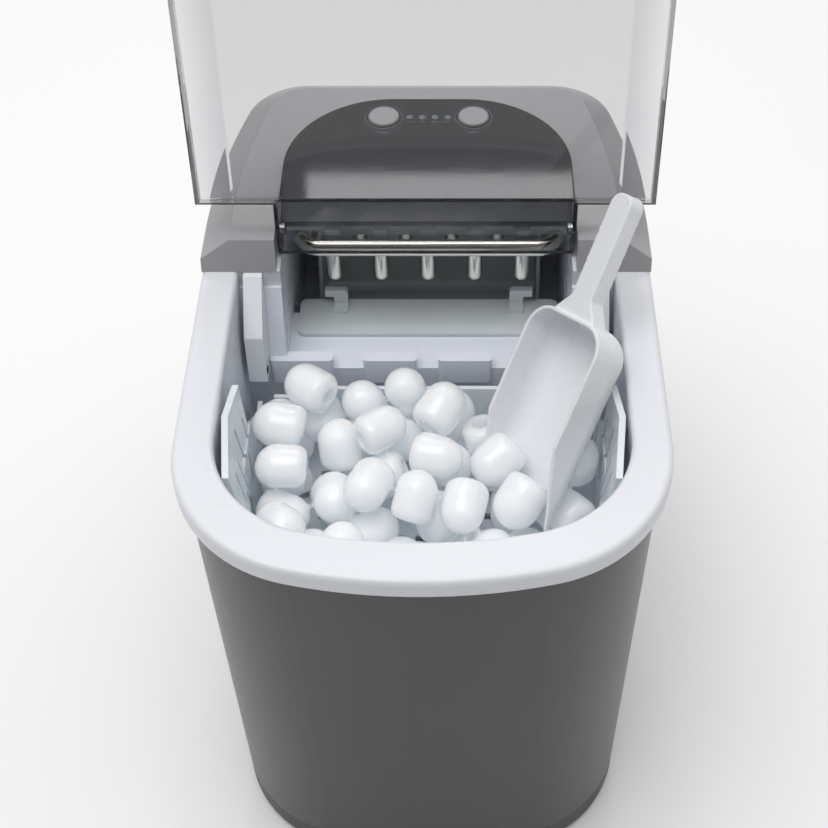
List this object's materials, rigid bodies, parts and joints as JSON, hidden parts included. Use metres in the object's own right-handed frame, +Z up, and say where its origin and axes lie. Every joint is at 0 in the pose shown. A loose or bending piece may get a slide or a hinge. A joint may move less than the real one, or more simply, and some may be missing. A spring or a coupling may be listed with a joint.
{
  "type": "ice maker",
  "caption": "Countertop ice maker with a clear hinged lid standing open, a basket of bullet ice, a scoop, a tipping water tray and a full cooling unit.",
  "frame": {"origin": "middle of the footprint, at the level of the feet", "axes": "+X to the right, +Y to the back, +Z up"},
  "size_m": [0.242, 0.358, 0.54],
  "materials": {
    "rim_white": "satin moulded",
    "liner_white": "smooth moulded",
    "casing_silver": "satin silver-grey coat",
    "back_grey": "fine texture",
    "base_dark": "fine texture",
    "foot_rubber": "matt",
    "gland_rubber": "matt",
    "foam": "expanded foam",
    "arm_white": "satin moulded",
    "sensor_dark": "gloss",
    "cover_silver": "satin metallic",
    "panel_black": "high gloss",
    "lamp_clear": "clear",
    "button_grey": "satin",
    "board_green": "lacquered",
    "lid_smoke": "smoked clear",
    "steel_pin": "ground",
    "plated": "bright plated",
    "bracket_white": "moulded",
    "tray_clear": "translucent",
    "motor_grey": "moulded",
    "shovel_grey": "translucent",
    "basket_clear": "translucent",
    "ice": "cloudy ice",
    "scoop_white": "smooth moulded",
    "compressor_black": "gloss black enamel",
    "mount_rubber": "matt",
    "terminal_black": "moulded",
    "copper": "drawn copper",
    "fin_aluminium": "mill",
    "shroud_grey": "moulded",
    "fan_grey": "moulded",
    "valve_brass": "machined",
    "pump_white": "moulded",
    "impeller_blue": "moulded",
    "hose_clear": "soft silicone",
    "fitting_grey": "moulded",
    "plug_grey": "matt",
    "component_mix": "mixed",
    "screw_steel": "zinc plated"
  },
  "bodies": {
    "housing": {"feet": "foot_rubber", "base_pan": "base_dark", "outer_casing": "casing_silver", "rear_panel": "back_grey", "cord_gland": "gland_rubber", "top_rim": "rim_white", "liner": "liner_white", "foam_insulation": "foam", "sensor_arm_left": "arm_white", "sensor_arm_right": "arm_white", "ir_emitter": "sensor_dark", "ir_receiver": "sensor_dark", "rear_cover": "cover_silver", "control_panel": "panel_black", "indicator_lenses": "lamp_clear", "control_board": "board_green", "evaporator_tube": "plated", "evaporator_fingers": "plated", "evaporator_bracket": "bracket_white", "tray_motor": "motor_grey", "compressor": "compressor_black", "compressor_mounts": "mount_rubber", "terminal_cover": "terminal_black", "condenser_coil": "copper", "condenser_fins": "fin_aluminium", "fan_shroud": "shroud_grey", "fan_motor": "motor_grey", "filter_drier": "copper", "capillary_tube": "copper", "inlet_tee": "copper", "suction_line": "copper", "discharge_line": "copper", "hot_gas_line": "copper", "hot_gas_valve": "valve_brass", "water_pump": "pump_white", "fill_hose": "hose_clear", "drain_hose": "hose_clear", "drain_fitting": "fitting_grey", "main_board": "board_green", "board_components": "component_mix", "panel_screws": "screw_steel", "base_screws": "screw_steel"},
    "lid": {"lid": "lid_smoke", "lid_hinge_pins": "steel_pin"},
    "basket": {"basket": "basket_clear", "bullet_ice": "ice"},
    "scoop": {"scoop": "scoop_white", "scoop_ice": "ice"},
    "tray": {"water_tray": "tray_clear", "tray_shaft": "steel_pin"},
    "shovel": {"ice_shovel": "shovel_grey", "shovel_brackets": "bracket_white"},
    "fan": {"fan_shaft": "steel_pin", "fan_blades": "fan_grey"},
    "pump_rotor": {"pump_impeller": "impeller_blue"},
    "power_key": {"power_button": "button_grey"},
    "select_key": {"select_button": "button_grey"},
    "drain_stopper": {"drain_plug": "plug_grey"}
  },
  "joints": [
    {"name": "lid_hinge", "type": "hinge", "parent": "housing", "child": "lid", "pos_m": [0, 0.042, 0.321], "axis": [-1, 0, 0], "range_deg": [-101, 0]},
    {"name": "basket_lift", "type": "slide", "parent": "housing", "child": "basket", "axis": [0, 0, 1], "range_m": [0, 0.2]},
    {"name": "scoop_lift", "type": "slide", "parent": "basket", "child": "scoop", "axis": [0, -0.5, 0.866], "range_m": [0, 0.5004]},
    {"name": "tray_tilt", "type": "hinge", "parent": "housing", "child": "tray", "pos_m": [0, 0.102, 0.286], "axis": [-1, 0, 0], "range_deg": [0, 65]},
    {"name": "shovel_slide", "type": "slide", "parent": "housing", "child": "shovel", "axis": [0, -1, 0], "range_m": [0, 0.0181]},
    {"name": "fan_spin", "type": "hinge", "parent": "housing", "child": "fan", "pos_m": [0.04, 0.16, 0.092], "axis": [0, 1, 0], "continuous": true},
    {"name": "pump_spin", "type": "hinge", "parent": "housing", "child": "pump_rotor", "pos_m": [0.06, -0.04, 0.11], "axis": [0, 0, 1], "continuous": true},
    {"name": "power_press", "type": "slide", "parent": "housing", "child": "power_key", "axis": [0, 0, -1], "range_m": [0, 0.0009], "stiffness_N_per_m": 400},
    {"name": "select_press", "type": "slide", "parent": "housing", "child": "select_key", "axis": [0, 0, -1], "range_m": [0, 0.0009], "stiffness_N_per_m": 400},
    {"name": "drain_pull", "type": "slide", "parent": "housing", "child": "drain_stopper", "axis": [-1, 0, 0], "range_m": [0, 0.03]}
  ],
  "couplings": [
    {"joint": "scoop_lift", "follows": "lid_hinge", "m_per_rad": -0.2836},
    {"joint": "shovel_slide", "follows": "tray_tilt", "m_per_rad": 0.015867}
  ]
}
